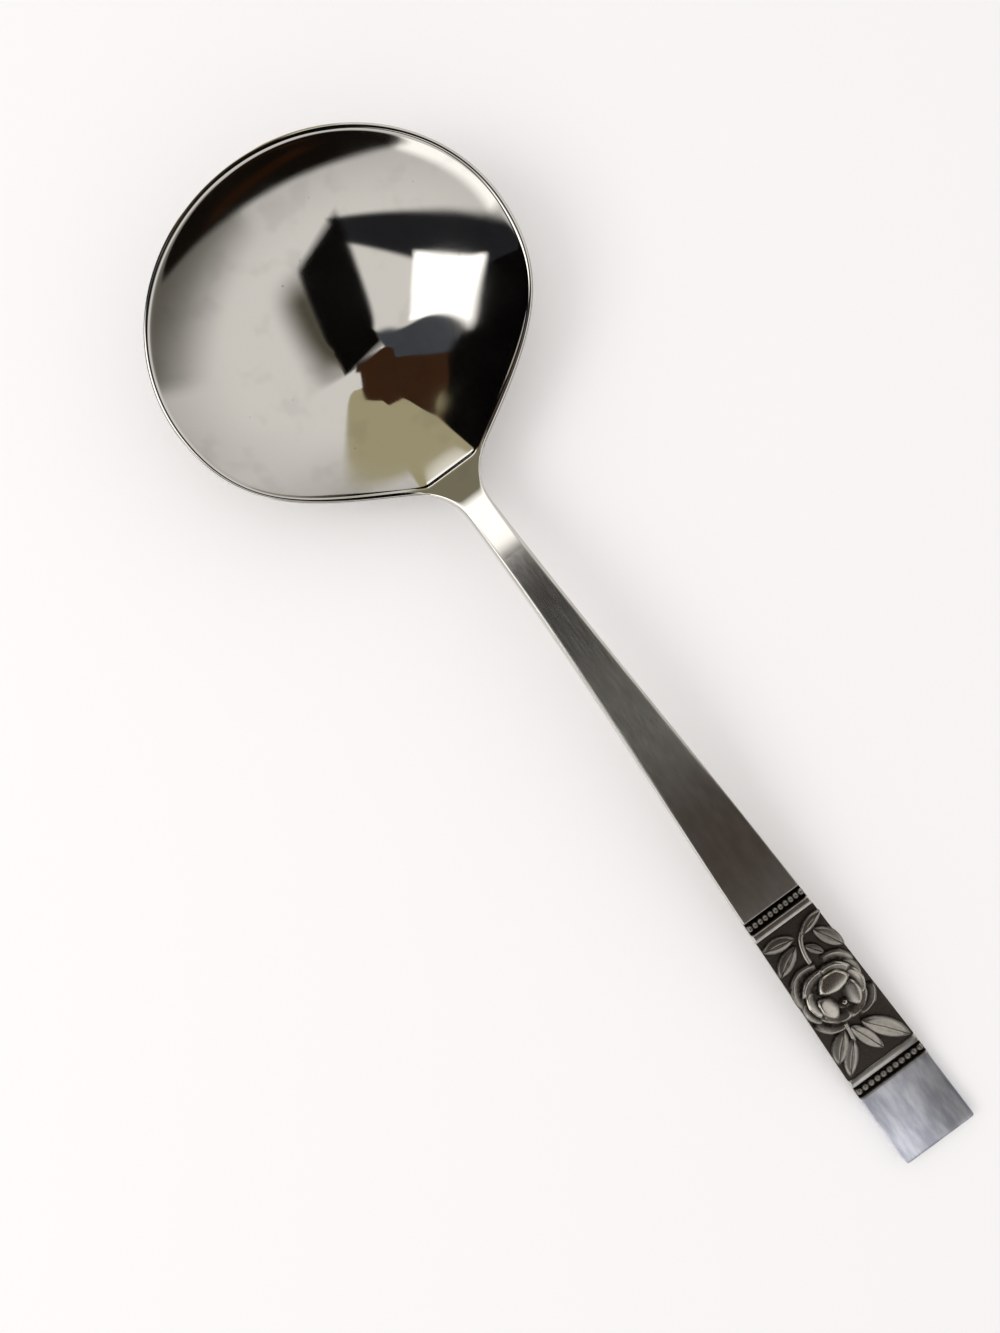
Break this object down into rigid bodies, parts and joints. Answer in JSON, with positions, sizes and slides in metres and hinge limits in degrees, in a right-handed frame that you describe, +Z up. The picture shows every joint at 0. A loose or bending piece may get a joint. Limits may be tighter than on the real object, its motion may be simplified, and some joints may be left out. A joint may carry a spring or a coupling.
{
  "type": "gravy ladle",
  "caption": "Stainless steel gravy ladle with a round shouldered bowl and a low arched, tapering handle that carries a rose in relief between beaded borders near its squared tip.",
  "frame": {"origin": "centre of the flat under the bowl, on the surface that the ladle lies on", "axes": "+Z up; +Y along the ladle from the handle towards the far rim of the bowl, so the handle runs towards -Y; +X across the bowl"},
  "size_m": [0.0578, 0.1767, 0.0187],
  "materials": {
    "mirror_steel": "mirror polished stainless steel with fine scratches from use",
    "satin_steel": "satin stainless steel, brushed along the handle",
    "relief_steel": "struck stainless steel, rubbed bright on the high places",
    "blackened_steel": "blackened stainless steel ground, matt"
  },
  "bodies": {
    "root": {"bowl": "mirror_steel", "handle": "satin_steel", "panel_ground": "blackened_steel", "rose_bloom": "relief_steel", "upper_leaf_spray": "relief_steel", "lower_leaf_spray": "relief_steel", "upper_bead_border": "relief_steel", "lower_bead_border": "relief_steel"}
  },
  "joints": []
}
